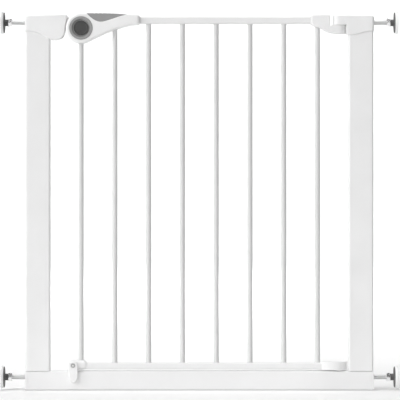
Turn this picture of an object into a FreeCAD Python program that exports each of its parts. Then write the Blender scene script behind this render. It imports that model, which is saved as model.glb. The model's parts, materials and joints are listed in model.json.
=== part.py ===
import FreeCAD, Part
import math
import os
from FreeCAD import Vector

# Pressure-fit safety gate with a swinging leaf. Millimetres.
# X runs across the doorway, -Y is the front, +Z is up. The origin is the middle of the
# crossbar's underside. The leaf hangs on the right and latches on the left.

X, Y, Z = Vector(1, 0, 0), Vector(0, 1, 0), Vector(0, 0, 1)

# --- driving dimensions --------------------------------------------------------------
FRAME_HALF = 342.0          # half the width over the posts
WALL_HALF = 390.0           # half the width over the wall cups
TUBE_DEPTH = 22.0           # posts and crossbar, front to back
TUBE_ROUND = 4.0
TUBE_WALL = 1.5
CROSSBAR_TOP = 38.0
POST_OUTER, POST_INNER = 341.5, 292.5
POST_TOP = 733.0

HOUSING_HALF_DEPTH = 14.0
HOUSING_WALL = 2.5
HOUSING_OUTER = 342.8
SCREW_BOSS_R = 4.2

HINGE_X = 275.0             # axis of both hinge pins
HINGE_PIN_R = 4.0
BUSH_R = 6.0
RUNNING_GAP = 0.05          # radial, pins and rods in their bores
ARM_UNDERSIDE = 716.8
KNUCKLE_BOTTOM, KNUCKLE_TOP, KNUCKLE_R = 699.7, 716.5, 12.3
UPPER_PIN_TOP, LOWER_PIN_TOP = 732.0, 52.5

BAR_COUNT, BAR_PITCH, BAR_R, BAR_WALL = 8, 66.4, 5.0, 1.1
RAIL_DEPTH, RAIL_ROUND = 16.0, 2.5
TOP_RAIL = (-246.0, 252.0, 719.0, 733.2)        # x from, x to, z from, z to
BOTTOM_RAIL = (-240.0, 258.0, 41.4, 53.6)

DIAL_X, DIAL_Z = -232.0, 710.5
HANDLE_R = 30.0
HANDLE_HALF_DEPTH, HANDLE_WALL = 16.0, 2.5
BEZEL_R, BUTTON_R, BUTTON_GAP = 22.8, 14.2, 0.3
BUTTON_TRAVEL = 3.0
STEM_X, STEM_Z, STEM_R = -222.8, 705.2, 2.0

SLIDE_TRAVEL = 12.0
BOLT = (-272.0, -176.0, 720.8, 731.4)           # x from, x to, z from, z to
BOLT_HALF = 6.2
KEEPER_PLATE_X = (-267.8, -266.0)
SLIDER_SCREW_X, SLIDER_SCREW_R = -182.0, 2.5
SPRING_STOP_X = -146.0

FLAP_X, FLAP_Z = -247.3, 48.9                   # axis of the stopper flap
FLAP_BACK, FLAP_FRONT = -11.4, -18.0
FLAP_R = 9.1
FLAP_RECESS, FLAP_RECESS_R = 1.6, 4.1
FLAP_PIN_R, FLAP_PIN_END = 2.5, -2.0

SPINDLE_Z = {"upper": 721.5, "lower": 25.4}
SIDES = {"left": -1, "right": 1}
ROD_R = 5.0                                     # M10
ROD_IN, ROD_OUT = 312.0, 382.0                  # distances from the middle
NUT_FROM, NUT_TO, NUT_FLATS = 367.7, 375.4, 16.0
BUSHES_FROM, BUSHES_TO, THREAD_BUSH_R = 322.0, 339.9, 7.8
FLANGE_FROM, CUP_FROM = 380.5, 384.0
NECK_R, FLANGE_R, CUP_R = 6.5, 20.5, 22.4
END_CAP = 2.5                                   # thickness of the crossbar's end caps
CLEARANCE = 0.1                                 # round a fixed piece in its pocket
THROUGH = 30.0                                  # reach of a cutter that goes right through
FAR = 1000.0                                    # beyond the whole gate


# --- shape helpers -------------------------------------------------------------------
def box(x0, x1, y0, y1, z0, z1):
    """A block between two corners."""
    return Part.makeBox(x1 - x0, y1 - y0, z1 - z0, Vector(x0, y0, z0))


def rod(start, end, radius):
    """A round bar between two points."""
    way = end - start
    return Part.makeCylinder(radius, way.Length, start, way)


def bore(x, z, radius, front=-THROUGH, rear=THROUGH):
    """A round bar or cutter that runs from front to rear."""
    return rod(Vector(x, front, z), Vector(x, rear, z), radius)


def upright(x, low, high, radius):
    """An upright round bar or cutter."""
    return rod(Vector(x, 0, low), Vector(x, 0, high), radius)


def cross_rod(side, from_x, to_x, z, radius):
    """A round bar or cutter across the doorway, between two distances from the middle."""
    return rod(Vector(side * from_x, 0, z), Vector(side * to_x, 0, z), radius)


def cone(start, end, r_start, r_end):
    """A round bar that tapers between two points."""
    way = end - start
    return Part.makeCone(r_start, r_end, way.Length, start, way)


def rounded_bar(axis, start, end, width, height, centre, radius):
    """A bar of rounded rectangular section. Width runs along Y for X bars and along X for Z bars."""
    if axis == "x":
        bar = box(start, end, -width / 2, width / 2, centre - height / 2, centre + height / 2)
        along = X
    else:
        bar = box(centre - width / 2, centre + width / 2, -height / 2, height / 2, start, end)
        along = Z
    corners = [e for e in bar.Edges if abs(abs(e.tangentAt(0).dot(along)) - 1) < 1e-6]
    return bar.makeFillet(radius, corners)


def rounded_tube(axis, start, end, width, height, centre, radius, wall):
    """A rounded rectangular tube, open at both ends."""
    outer = rounded_bar(axis, start, end, width, height, centre, radius)
    inner = rounded_bar(axis, start - 1, end + 1, width - 2 * wall, height - 2 * wall, centre, radius - wall)
    return outer.cut(inner)


def outline(plane, start, *steps):
    """A face drawn step by step.

    A step is ("line", point), ("arc", point on it, end) or ("curve", points...). Plane "xz" draws
    seen from the front and "xy" draws seen from above.
    """
    place = (lambda p: Vector(p[0], 0, p[1])) if plane == "xz" else (lambda p: Vector(p[0], p[1], 0))
    at, edges = place(start), []
    for kind, *points in steps:
        ends = [place(p) for p in points]
        if kind == "line":
            edges.append(Part.LineSegment(at, ends[-1]).toShape())
        elif kind == "arc":
            edges.append(Part.Arc(at, ends[0], ends[1]).toShape())
        else:
            curve = Part.BSplineCurve()
            curve.interpolate([at] + ends)
            edges.append(curve.toShape())
        at = ends[-1]
    if at.distanceToPoint(place(start)) > 1e-6:
        edges.append(Part.LineSegment(at, place(start)).toShape())
    return Part.Face(Part.Wire(edges))


def slab(face, low, high):
    """An outline given thickness: along Y for a front view, along Z for a plan."""
    along = Y if abs(face.normalAt(0, 0).y) > 0.5 else Z
    moved = face.copy()
    moved.translate(along * low)
    return moved.extrude(along * (high - low))


def edges_at(shape, y):
    """The edges that lie wholly in the plane at this depth."""
    return [e for e in shape.Edges if abs(e.BoundBox.YMin - y) < 1e-4 and abs(e.BoundBox.YMax - y) < 1e-4]


def rims_at(shape, x):
    """The flat edges at this distance left or right of the middle."""
    return [e for e in shape.Edges if abs(abs(e.BoundBox.XMin) - x) < 0.01 and e.BoundBox.XLength < 0.01]


def helix_spring(start, way, length, mean_r, wire_r, turns):
    """A round-wire coil spring along a direction."""
    helix = Part.makeHelix((length - 2 * wire_r) / turns, length - 2 * wire_r, mean_r)
    profile = Part.Wire(Part.makeCircle(wire_r, Vector(mean_r, 0, 0), Y))
    coil = Part.Wire(helix.Edges).makePipeShell([profile], True, True)
    turned = coil.copy()
    turned.Placement = FreeCAD.Placement(start + way * wire_r, FreeCAD.Rotation(Z, way))
    return turned


def screw(head_at, way, length, shaft_r, head_r, head_h):
    """A pan-head screw with a cross recess. Head_at is the underside of its head."""
    shape = rod(head_at, head_at + way * length, shaft_r)
    head = rod(head_at - way * head_h, head_at, head_r)
    shape = shape.fuse(head).removeSplitter()
    top = head_at - way * head_h
    for across in (X, Z):
        slot = box(-head_r * 0.55, head_r * 0.55, -head_h * 0.45, head_h * 0.45, -0.35, 0.35)
        if across is Z:
            slot.rotate(Vector(0, 0, 0), Y, 90)
        slot.translate(top)
        shape = shape.cut(slot)
    return shape


def halves(solid, depth):
    """Split a two-shell housing at its parting plane."""
    front = solid.common(box(-FAR, FAR, -depth, 0, -FAR, FAR))
    rear = solid.common(box(-FAR, FAR, 0, depth, -FAR, FAR))
    return front, rear


# --- frame ---------------------------------------------------------------------------
def crossbar():
    end, snap_in, snap_z = FRAME_HALF - END_CAP, 2.5, (15.5, 24.5)
    bar = rounded_tube("x", -end, end, TUBE_DEPTH, CROSSBAR_TOP, CROSSBAR_TOP / 2, TUBE_ROUND, TUBE_WALL)
    for side in SIDES.values():
        window = box(-1, 1, -TUBE_DEPTH, TUBE_DEPTH, *snap_z)
        window.translate(Vector(side * (end - snap_in), 0, 0))
        bar = bar.cut(window)
    return bar.cut(upright(HINGE_X, CROSSBAR_TOP / 2, CROSSBAR_TOP + 1, HINGE_PIN_R))


HOUSING_SCREWS = {"left": ((-322.0, 710.0), (-278.5, 698.5)), "right": ((325.0, 711.0), (302.0, 708.0))}
SCREW_R, SCREW_HEAD_R, SCREW_HEAD_H = 1.6, 3.2, 1.6
HOUSING_SCREW_Y, HOUSING_SCREW_LENGTH = 12.0, 24.3      # underside of the heads, shaft length
SPINDLE_HOLE_R = ROD_R + 1


def post(side_name):
    side = SIDES[side_name]
    middle = side * (POST_OUTER + POST_INNER) / 2
    width = POST_OUTER - POST_INNER
    tube = rounded_tube("z", CROSSBAR_TOP, POST_TOP, width, TUBE_DEPTH, middle, TUBE_ROUND, TUBE_WALL)
    tube = tube.cut(cross_rod(side, POST_OUTER - TUBE_ROUND, WALL_HALF, SPINDLE_Z["upper"], ROD_R + 0.6))
    for x, z in HOUSING_SCREWS[side_name]:
        tube = tube.cut(bore(x, z, SCREW_R + 0.4))
    return tube


def post_room(side):
    """The space that a post needs inside its housing."""
    a, b = sorted((side * (POST_OUTER + CLEARANCE), side * (POST_INNER - CLEARANCE)))
    half = TUBE_DEPTH / 2 + CLEARANCE
    return box(a, b, -half, half, POST_TOP / 2, POST_TOP + 2 * CLEARANCE)


def housing_plan(side, inner_end):
    """Plan of a post housing, with rounded outer corners. Inner_end draws the other end."""
    out, half, turn = side * HOUSING_OUTER, HOUSING_HALF_DEPTH, 5.0
    knee = turn * (1 - math.sqrt(0.5))
    return outline("xy", (side * 300, -half), ("line", (out - side * turn, -half)),
                   ("arc", (out - side * knee, -half + knee), (out, -half + turn)),
                   ("line", (out, half - turn)),
                   ("arc", (out - side * knee, half - knee), (out - side * turn, half)),
                   ("line", (side * 300, half)), *inner_end)


def drill_housing(front, rear, places):
    """Blind screw holes in the front shell, through holes with head recesses in the rear one."""
    for x, z in places:
        front = front.cut(bore(x, z, SCREW_R, front=-HOUSING_HALF_DEPTH + 1.5))
        rear = rear.cut(bore(x, z, SCREW_R)).cut(bore(x, z, SCREW_HEAD_R + 0.2, front=HOUSING_SCREW_Y))
    return front, rear


def keeper_housing():
    """The left housing: caps the post and reaches in to the latch pocket."""
    face = outline("xz", (-HOUSING_OUTER, 704.4),
                   ("curve", (-329, 703.7), (-317, 700.6), (-303, 694.3), (-291, 688.3), (-281.8, 686.5),
                    (-271.5, 689.6), (-265.6, 697.7), (-263.6, 707.6)),
                   ("line", (-259.3, 733.6)), ("arc", (-259.9, 736.3), (-262.4, 737.3)),
                   ("line", (-339, 735)), ("arc", (-341.6, 734), (-HOUSING_OUTER, 731.6)))
    body = slab(face, -HOUSING_HALF_DEPTH, HOUSING_HALF_DEPTH)
    rims = edges_at(body, -HOUSING_HALF_DEPTH) + edges_at(body, HOUSING_HALF_DEPTH)
    body = body.makeFillet(1.5, rims)
    end = [("line", (-255, HOUSING_HALF_DEPTH)), ("line", (-255, -HOUSING_HALF_DEPTH))]
    body = body.common(slab(housing_plan(-1, end), POST_TOP / 2, FAR))
    inner = HOUSING_HALF_DEPTH - HOUSING_WALL
    bolt_room = box(-290, KEEPER_PLATE_X[1], -inner, inner, 692, 734.7)
    post_end = box(-340, -290, -inner, inner, 708.5, 732.5)
    x, z = HOUSING_SCREWS["left"][1]
    room = bolt_room.fuse(post_end).cut(bore(x, z, SCREW_BOSS_R))
    mouth = box(-267, -255, -BOLT_HALF - 1, BOLT_HALF + 1, BOLT[2] - 1.4, BOLT[3] + 1.5)
    body = body.cut(room).cut(post_room(-1)).cut(mouth)
    body = body.cut(cross_rod(-1, POST_OUTER - TUBE_ROUND, WALL_HALF, SPINDLE_Z["upper"], SPINDLE_HOLE_R))
    front, rear = drill_housing(*halves(body, HOUSING_HALF_DEPTH), HOUSING_SCREWS["left"])
    return {"keeper_housing_front": front, "keeper_housing_rear": rear}


def hinge_housing():
    """The right housing: caps the post and carries the upper hinge arm."""
    arm_r = 12.5
    face = outline("xz", (HOUSING_OUTER, 704.8),
                   ("curve", (335.5, 704.7), (325.7, 703.5), (315.8, 700.4), (306, 697.9), (296, 697.6),
                    (291, 698.4)),
                   ("arc", (289.1, 699.5), (288.3, 701.6)),
                   ("line", (288.3, ARM_UNDERSIDE)), ("line", (255, ARM_UNDERSIDE)),
                   ("line", (255, 736.8)), ("line", (339, 735.4)),
                   ("arc", (341.6, 734.4), (HOUSING_OUTER, 732)))
    body = slab(face, -HOUSING_HALF_DEPTH, HOUSING_HALF_DEPTH)
    end = [("line", (HINGE_X, arm_r)), ("arc", (HINGE_X - arm_r, 0), (HINGE_X, -arm_r))]
    body = body.common(slab(housing_plan(1, end), POST_TOP / 2, FAR))
    inner = HOUSING_HALF_DEPTH - HOUSING_WALL
    body = body.cut(box(292, 340, -inner, inner, 709.5, 732.5)).cut(post_room(1))
    body = body.cut(upright(HINGE_X, KNUCKLE_BOTTOM, UPPER_PIN_TOP, HINGE_PIN_R))
    body = body.cut(cross_rod(1, POST_OUTER - TUBE_ROUND, WALL_HALF, SPINDLE_Z["upper"], SPINDLE_HOLE_R))
    front, rear = drill_housing(*halves(body, HOUSING_HALF_DEPTH), HOUSING_SCREWS["right"])
    return {"hinge_housing_front": front, "hinge_housing_rear": rear}


def housing_screws():
    places = HOUSING_SCREWS["left"] + HOUSING_SCREWS["right"]
    return Part.makeCompound([screw(Vector(x, HOUSING_SCREW_Y, z), -Y, HOUSING_SCREW_LENGTH, SCREW_R,
                                    SCREW_HEAD_R, SCREW_HEAD_H) for x, z in places])


def keeper_plate():
    """The steel strike that the bolt passes through."""
    plate = box(*KEEPER_PLATE_X, -11.2, 11.2, 704.5, 734.4)
    gap = 0.7
    return plate.cut(box(*KEEPER_PLATE_X, -BOLT_HALF - gap, BOLT_HALF + gap, BOLT[2] - gap, BOLT[3] + gap))


def lower_hinge_pin():
    pin = upright(HINGE_X, 26, LOWER_PIN_TOP, HINGE_PIN_R)
    return pin.makeChamfer(0.8, [e for e in pin.Edges if e.BoundBox.ZMin > LOWER_PIN_TOP - 0.1])


def upper_hinge_pin():
    low = KNUCKLE_BOTTOM + 1.8
    pin = upright(HINGE_X, low, UPPER_PIN_TOP, HINGE_PIN_R)
    return pin.makeChamfer(0.8, [e for e in pin.Edges if e.BoundBox.ZMax < low + 0.1])


def ring(start, end, r_out, r_in):
    """A plain round sleeve between two points."""
    return rod(start, end, r_out).cut(rod(start, end, r_in))


def lower_hinge_washer():
    return ring(Vector(HINGE_X, 0, CROSSBAR_TOP), Vector(HINGE_X, 0, CROSSBAR_TOP + 1.2), 9.5, HINGE_PIN_R)


def spindle_places():
    for level, z in SPINDLE_Z.items():
        for side_name, side in SIDES.items():
            yield level + "_" + side_name, side, z


def thread_bushes():
    """Threaded inserts that the four spindles turn in."""
    return Part.makeCompound([ring(Vector(side * BUSHES_FROM, 0, z), Vector(side * BUSHES_TO, 0, z),
                                   THREAD_BUSH_R, ROD_R + RUNNING_GAP)
                              for _, side, z in spindle_places()])


def crossbar_end_caps():
    """Plugs that close the crossbar's ends and hold the lower thread inserts."""
    caps = []
    inside = FRAME_HALF - END_CAP
    z = SPINDLE_Z["lower"]
    for side in SIDES.values():
        a, b = sorted((side * inside, side * FRAME_HALF))
        flange = rounded_bar("x", a, b, TUBE_DEPTH, CROSSBAR_TOP, CROSSBAR_TOP / 2, TUBE_ROUND)
        a, b = sorted((side * (BUSHES_FROM + 3), side * inside))
        gap = 2 * TUBE_WALL + CLEARANCE
        plug = rounded_bar("x", a, b, TUBE_DEPTH - gap, CROSSBAR_TOP - gap, CROSSBAR_TOP / 2, 2.8)
        cap = flange.fuse(plug)
        cap = cap.cut(cross_rod(side, BUSHES_FROM, BUSHES_TO, z, THREAD_BUSH_R))
        cap = cap.cut(cross_rod(side, BUSHES_FROM, WALL_HALF, z, ROD_R + 0.6))
        caps.append(cap)
    return Part.makeCompound(caps)


# --- leaf ----------------------------------------------------------------------------
def rail(place):
    x0, x1, z0, z1 = place
    return rounded_tube("x", x0, x1, RAIL_DEPTH, z1 - z0, (z0 + z1) / 2, RAIL_ROUND, TUBE_WALL)


def rail_room(place, gap):
    """The space round a rail, open towards the left."""
    x0, x1, z0, z1 = place
    half = RAIL_DEPTH / 2 + gap
    return box(x0 - FAR, x1 + gap, -half, half, z0 - gap, z1 + gap)


TOP_RAIL_MIDDLE = (TOP_RAIL[2] + TOP_RAIL[3]) / 2
SPRING_STOP_R = 2.0


def top_rail():
    tube = rail(TOP_RAIL)
    half = SLIDER_SCREW_R + 0.3
    a, b = SLIDER_SCREW_X - half, SLIDER_SCREW_X + SLIDE_TRAVEL + half
    tube = tube.cut(box(a, b, -half, half, TOP_RAIL_MIDDLE, POST_TOP + 1))
    return tube.cut(bore(SPRING_STOP_X, TOP_RAIL_MIDDLE, SPRING_STOP_R))


def spring_stop_pin():
    half = RAIL_DEPTH / 2
    return bore(SPRING_STOP_X, TOP_RAIL_MIDDLE, SPRING_STOP_R, -half, half)


def bar_x(number):
    return (number - (BAR_COUNT + 1) / 2) * BAR_PITCH


def bar(number):
    x = bar_x(number)
    low, high = Vector(x, 0, BOTTOM_RAIL[3]), Vector(x, 0, TOP_RAIL[2])
    return ring(low, high, BAR_R, BAR_R - BAR_WALL)


HANDLE_SCREWS = ((-203.0, 704.0), (-181.0, 711.5), (-243.5, 687.0))
HANDLE_SCREW_R, HANDLE_SCREW_HEAD_R, HANDLE_SCREW_Y = 1.5, 2.8, 14.0


def handle_face():
    """The latch handle seen from the front: a disc that sweeps into a tapering grip."""
    leave = math.radians(-67)
    low = (DIAL_X + HANDLE_R * math.cos(leave), DIAL_Z + HANDLE_R * math.sin(leave))
    return outline("xz", (DIAL_X, DIAL_Z + HANDLE_R),
                   ("curve", (-205, 740.4), (-180, 740), (-160, 739), (-141, 737.6), (-121, 736.9)),
                   ("arc", (-118.2, 735.7), (-117, 732.9)), ("line", (-117, 719.4)),
                   ("arc", (-117.8, 717.6), (-119.6, 716.9)),
                   ("curve", (-136, 715.6), (-156, 710.6), (-175.7, 703.4), (-195.3, 695), low),
                   ("arc", (DIAL_X - HANDLE_R, DIAL_Z), (DIAL_X, DIAL_Z + HANDLE_R)))


def scoop():
    """The cut in the handle's wall that bares the thumb slider."""
    return outline("xz", (-222.5, 741),
                   ("curve", (-219, 737.2), (-213, 731.8), (-206, 726.6), (-199, 723.5), (-192, 722.7),
                    (-183.5, 724.2), (-171.7, 727.9), (-156, 733.1), (-141, 736.7), (-134, 738.6)),
                   ("line", (-134, 746)), ("line", (-222.5, 746)))


def handle_shells():
    inner = HANDLE_HALF_DEPTH - HANDLE_WALL
    solid = slab(handle_face(), -HANDLE_HALF_DEPTH, HANDLE_HALF_DEPTH)
    rims = edges_at(solid, -HANDLE_HALF_DEPTH) + edges_at(solid, HANDLE_HALF_DEPTH)
    solid = solid.makeFillet(2.0, rims)

    room = rod(Vector(DIAL_X, -inner, DIAL_Z), Vector(DIAL_X, inner, DIAL_Z), HANDLE_R - HANDLE_WALL)
    grip = outline("xz", (-214, 690.5), ("line", (-195, 698.5)), ("line", (-175.7, 706.8)),
                   ("line", (-156, 714)), ("line", (-139, 719)), ("line", (-139, 735)), ("line", (-226, 735)))
    room = room.fuse(slab(grip, -inner, inner))
    for x, z in HANDLE_SCREWS:
        room = room.cut(bore(x, z, 3.2))
    stem_boss = bore(STEM_X, STEM_Z, 4.0, front=0)
    solid = solid.cut(room.cut(stem_boss))

    slider_room = box(-224.6, -126.5, -inner, inner, 719.4, FAR)
    rail_end = TOP_RAIL[0] - CLEARANCE
    half = RAIL_DEPTH / 2 + CLEARANCE
    rail_slot = box(rail_end, 0, -half, half, TOP_RAIL[2] - CLEARANCE, TOP_RAIL[3] + CLEARANCE)
    gap = 0.4
    bolt_slot = box(-FAR, -240, -BOLT_HALF - gap, BOLT_HALF + gap, BOLT[2] - gap, BOLT[3] + gap)
    solid = solid.cut(slider_room).cut(rail_slot).cut(bolt_slot)
    for low, high in ((-THROUGH, -inner), (inner, THROUGH)):
        solid = solid.cut(slab(scoop(), low, high))
    for number in (1, 2):
        solid = solid.cut(upright(bar_x(number), DIAL_Z / 2, TOP_RAIL[2], BAR_R + 0.5))
    solid = solid.cut(bore(STEM_X, STEM_Z, STEM_R + RUNNING_GAP, -4, 9))

    front, rear = halves(solid, HANDLE_HALF_DEPTH)
    front = front.cut(bore(DIAL_X, DIAL_Z, BEZEL_R, rear=-inner + 1))
    for x, z in HANDLE_SCREWS:
        front = front.cut(bore(x, z, HANDLE_SCREW_R, front=-12))
        rear = rear.cut(bore(x, z, HANDLE_SCREW_R))
        rear = rear.cut(bore(x, z, HANDLE_SCREW_HEAD_R + 0.2, front=HANDLE_SCREW_Y))
    return {"handle_front_shell": front, "handle_rear_shell": rear}


def handle_screws():
    return Part.makeCompound([screw(Vector(x, HANDLE_SCREW_Y, z), -Y, 26, HANDLE_SCREW_R,
                                    HANDLE_SCREW_HEAD_R, 1.5) for x, z in HANDLE_SCREWS])


def at_dial(y):
    return Vector(DIAL_X, y, DIAL_Z)


def dial_bezel():
    """The grey ring round the button, with a sloping inner face."""
    front, back = -HANDLE_HALF_DEPTH - 1.0, -HANDLE_HALF_DEPTH + HANDLE_WALL
    shape = ring(at_dial(front), at_dial(back), BEZEL_R, BUTTON_R + BUTTON_GAP)
    shape = shape.cut(cone(at_dial(front), at_dial(front + 2.4), 19.0, 15.6))
    rim = [e for e in edges_at(shape, front) if e.BoundBox.XLength > 2 * BEZEL_R - 0.1]
    return shape.makeFillet(0.8, rim)


def push_button():
    """The round release button and its stem, in one piece."""
    front, back = -HANDLE_HALF_DEPTH - 1.6, -HANDLE_HALF_DEPTH + 3.0
    cap = rod(at_dial(front), at_dial(back), BUTTON_R)
    cap = cap.makeFillet(1.2, edges_at(cap, front))
    dish_r, dish_depth = 36.0, 1.6
    cap = cap.cut(Part.makeSphere(dish_r, at_dial(front + dish_depth - dish_r)))
    stem = rod(Vector(STEM_X, back, STEM_Z), Vector(STEM_X, 4, STEM_Z), STEM_R)
    return cap.fuse(stem)


def button_spring():
    start = -HANDLE_HALF_DEPTH + 3.1
    return helix_spring(Vector(STEM_X, start, STEM_Z), Y, -0.1 - start, 2.8, 0.35, 6)


SLIDER_SCREW_TIP, SLIDER_SCREW_CONE = 722.5, 736.6      # z of its tip and of its head's underside


def thumb_slider():
    """A saddle over the top rail: pulled right, it draws the bolt."""
    side = 13.2
    face = outline("xz", (-216, 720.0), ("line", (-224, 728)), ("line", (-224, 739.9)),
                   ("curve", (-205, 739.9), (-180, 739.6), (-160, 738.6), (-139.5, 737.1)),
                   ("line", (-139.5, 720.0)))
    saddle = slab(face, -side, side)
    saddle = saddle.makeFillet(1.5, [e for e in saddle.Edges
                                     if e.BoundBox.ZMin > 736 and e.BoundBox.YLength < 1e-3])
    saddle = saddle.cut(rail_room((-300, -100, 700, TOP_RAIL[3]), 0.3))
    for step in range(6):
        x = -206 + step * 8 + (2 if step > 2 else 0)
        saddle = saddle.cut(bore(x, 740.9, 1.8))
    saddle = saddle.cut(upright(SLIDER_SCREW_X, TOP_RAIL_MIDDLE, FAR, SLIDER_SCREW_R))
    sink = cone(Vector(SLIDER_SCREW_X, 0, SLIDER_SCREW_CONE), Vector(SLIDER_SCREW_X, 0, 740),
                SLIDER_SCREW_R, 5.9)
    return saddle.cut(sink)


def slider_screw():
    top = Vector(SLIDER_SCREW_X, 0, 738.9)
    shaft = upright(SLIDER_SCREW_X, SLIDER_SCREW_TIP, SLIDER_SCREW_CONE, SLIDER_SCREW_R)
    head = cone(Vector(SLIDER_SCREW_X, 0, SLIDER_SCREW_CONE), top, SLIDER_SCREW_R, 4.8)
    shape = shaft.fuse(head)
    for turn in (0, 90):
        slot = box(-3, 3, -0.4, 0.4, -1.2, 1)
        slot.rotate(Vector(0, 0, 0), Z, turn)
        slot.translate(top)
        shape = shape.cut(slot)
    return shape


def latch_bolt():
    x0, x1, z0, z1 = BOLT
    shape = box(x0, x1, -BOLT_HALF, BOLT_HALF, z0, z1)
    tip = [e for e in shape.Edges if e.BoundBox.XMax < x0 + 0.01]
    shape = shape.makeChamfer(2.0, tip)
    return shape.cut(upright(SLIDER_SCREW_X, SLIDER_SCREW_TIP, FAR, SLIDER_SCREW_R))


def latch_spring():
    start, end = BOLT[1] + CLEARANCE, SPRING_STOP_X - SPRING_STOP_R - CLEARANCE
    return helix_spring(Vector(start, 0, TOP_RAIL_MIDDLE), X, end - start, 4.0, 0.5, 8)


def upper_hinge_bracket():
    """Joins the top rail's end to the knuckle under the hinge arm."""
    half = 12.0
    face = outline("xz", (220, 717.2), ("curve", (229, 713.4), (238.2, 709.8), (252.9, 702.8), (263, 700.4),
                                        (HINGE_X, KNUCKLE_BOTTOM)),
                   ("line", (HINGE_X, KNUCKLE_TOP)), ("line", (256.1, KNUCKLE_TOP)),
                   ("line", (256.1, 734)), ("arc", (255.2, 736.1), (253.1, 737)), ("line", (223, 737)),
                   ("arc", (220.9, 736.1), (220, 734)))
    body = slab(face, -half, half)
    rims = [e for e in edges_at(body, -half) + edges_at(body, half) if e.BoundBox.XMin < HINGE_X - 0.1]
    body = body.makeFillet(1.2, rims)
    low, high = Vector(HINGE_X, 0, KNUCKLE_BOTTOM), Vector(HINGE_X, 0, KNUCKLE_TOP)
    body = body.fuse(rod(low, high, KNUCKLE_R)).removeSplitter()
    body = body.cut(rail_room(TOP_RAIL, 0.05))
    body = body.cut(upright(bar_x(BAR_COUNT), TOP_RAIL[2] / 2, TOP_RAIL[2], BAR_R + 0.3))
    return body.cut(rod(low, high, BUSH_R))


def upper_hinge_bush():
    return ring(Vector(HINGE_X, 0, KNUCKLE_BOTTOM), Vector(HINGE_X, 0, KNUCKLE_TOP), BUSH_R,
                HINGE_PIN_R + RUNNING_GAP)


SLEEVE_X, SLEEVE_LOW, SLEEVE_HIGH = 263.0, 39.6, 56.2
LOWER_BUSH_TOP = 53.6


def lower_hinge_sleeve():
    """The oval shoe at the foot of the leaf that turns on the lower pin."""
    oval = Part.Ellipse(Vector(SLEEVE_X, 0, SLEEVE_LOW), 27.0, 15.0).toShape()
    body = Part.Face(Part.Wire([oval])).extrude(Z * (SLEEVE_HIGH - SLEEVE_LOW))
    body = body.makeFillet(1.2, [e for e in body.Edges if e.BoundBox.ZLength < 1e-4])
    body = body.cut(rail_room(BOTTOM_RAIL, 0.05))
    body = body.cut(upright(bar_x(BAR_COUNT), BOTTOM_RAIL[2], TOP_RAIL[2], BAR_R + CLEARANCE))
    return body.cut(upright(HINGE_X, CROSSBAR_TOP, LOWER_BUSH_TOP, BUSH_R))


def lower_hinge_bush():
    return ring(Vector(HINGE_X, 0, SLEEVE_LOW + CLEARANCE), Vector(HINGE_X, 0, LOWER_BUSH_TOP), BUSH_R,
                HINGE_PIN_R + RUNNING_GAP)


def latch_foot():
    """The rounded shoe on the leaf's free lower corner that carries the stopper flap."""
    x0, x1, z0, z1 = -256.8, -218.8, 40.2, 59.2
    r, mid = (z1 - z0) / 2, (z0 + z1) / 2
    face = outline("xz", (x0 + r, z0), ("line", (x1 - r, z0)), ("arc", (x1, mid), (x1 - r, z1)),
                   ("line", (x0 + r, z1)), ("arc", (x0, mid), (x0 + r, z0)))
    half = TUBE_DEPTH / 2
    body = slab(face, -half, half)
    body = body.makeFillet(7.5, edges_at(body, -half) + edges_at(body, half))
    lx0, lx1, lz0, lz1 = BOTTOM_RAIL
    room = RAIL_DEPTH / 2 + RUNNING_GAP
    body = body.cut(box(lx0, 0, -room, room, lz0 - RUNNING_GAP, lz1))
    body = body.cut(upright(bar_x(1), lz1, TOP_RAIL[2], BAR_R + CLEARANCE))
    return body.cut(bore(FLAP_X, FLAP_Z, FLAP_PIN_R, rear=FLAP_PIN_END))


def stopper_pin():
    under_head, top = FLAP_FRONT + FLAP_RECESS - CLEARANCE, FLAP_FRONT - CLEARANCE
    shaft = bore(FLAP_X, FLAP_Z, FLAP_PIN_R, under_head, FLAP_PIN_END)
    head = bore(FLAP_X, FLAP_Z, FLAP_PIN_R + 0.6, top, under_head)
    return shaft.fuse(head.makeFillet(0.6, edges_at(head, top)))


def stopper_flap():
    """The swinging tongue that stands in front of the crossbar."""
    x0, x1 = FLAP_X - FLAP_R, FLAP_X + FLAP_R
    face = outline("xz", (x1, FLAP_Z), ("line", (x1, 25.5)),
                   ("curve", (-239.6, 20), (-243.6, 16.2), (-248.2, 15.6), (-252, 18.8), (-255.2, 25.2),
                    (x0, 33.5)),
                   ("line", (x0, FLAP_Z)), ("arc", (FLAP_X, FLAP_Z + FLAP_R), (x1, FLAP_Z)))
    body = slab(face, FLAP_FRONT, FLAP_BACK)
    body = body.makeFillet(1.2, edges_at(body, FLAP_FRONT))
    body = body.cut(bore(FLAP_X, FLAP_Z, FLAP_PIN_R + RUNNING_GAP))
    return body.cut(bore(FLAP_X, FLAP_Z, FLAP_RECESS_R, rear=FLAP_FRONT + FLAP_RECESS))


# --- spindles ------------------------------------------------------------------------
def wall_cup(side, z):
    """The white dish that is fixed to the wall."""
    shape = cross_rod(side, CUP_FROM, WALL_HALF, z, CUP_R)
    return shape.makeFillet(1.8, rims_at(shape, CUP_FROM))


def rubber_foot(side, z):
    """The rubber pad and its neck, in which the spindle's end turns."""
    flange = cross_rod(side, FLANGE_FROM, CUP_FROM, z, FLANGE_R)
    flange = flange.makeFillet(1.5, rims_at(flange, FLANGE_FROM))
    neck = cross_rod(side, NUT_TO + CLEARANCE, FLANGE_FROM, z, NECK_R)
    shape = neck.fuse(flange).removeSplitter()
    return shape.cut(cross_rod(side, NUT_TO, ROD_OUT + 0.3, z, ROD_R + RUNNING_GAP))


def spindle_rod(side, z):
    shape = cross_rod(side, ROD_IN, ROD_OUT, z, ROD_R)
    ends = [e for e in shape.Edges if e.BoundBox.XLength < 0.01]
    return shape.makeChamfer(0.8, ends)


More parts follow.
